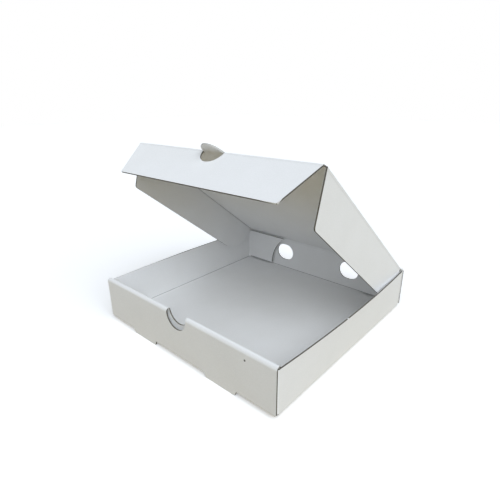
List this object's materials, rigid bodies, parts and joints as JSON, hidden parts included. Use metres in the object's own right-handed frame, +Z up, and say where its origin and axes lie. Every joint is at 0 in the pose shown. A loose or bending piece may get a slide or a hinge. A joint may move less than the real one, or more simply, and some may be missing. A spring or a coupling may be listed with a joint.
{
  "type": "pizza box",
  "caption": "Open folding pizza box of plain white corrugated board: shallow tray with a notched, rolled front wall and steam holes, and a hinged lid with tuck and side flaps.",
  "frame": {"origin": "middle of the tray in plan, on the surface that the box stands on", "axes": "+X to the right seen from the front, +Y to the back where the lid is hinged, +Z up"},
  "size_m": [0.262, 0.256, 0.2142],
  "materials": {
    "board": "matt white coated board"
  },
  "bodies": {
    "tray": {"tray": "board"},
    "lid": {"lid": "board"},
    "lid_front_flap": {"lid_front_flap": "board"},
    "lid_left_flap": {"lid_left_flap": "board"},
    "lid_right_flap": {"lid_right_flap": "board"}
  },
  "joints": [
    {"name": "lid_hinge", "type": "hinge", "parent": "tray", "child": "lid", "pos_m": [0, 0.1272, 0.05248], "axis": [-1, 0, 0], "range_deg": [-38.2, 90]},
    {"name": "front_flap_fold", "type": "hinge", "parent": "lid", "child": "lid_front_flap", "pos_m": [0, -0.06659, 0.20498], "axis": [1, 0, 0], "range_deg": [-72, 30.56]},
    {"name": "left_flap_fold", "type": "hinge", "parent": "lid", "child": "lid_left_flap", "pos_m": [-0.1224, 0.12671, 0.05186], "axis": [0, -0.7859, 0.6184], "range_deg": [0, 85]},
    {"name": "right_flap_fold", "type": "hinge", "parent": "lid", "child": "lid_right_flap", "pos_m": [0.1224, 0.12671, 0.05186], "axis": [0, 0.7859, -0.6184], "range_deg": [0, 85]}
  ],
  "couplings": [
    {"joint": "front_flap_fold", "follows": "lid_hinge", "ratio": -0.8}
  ]
}
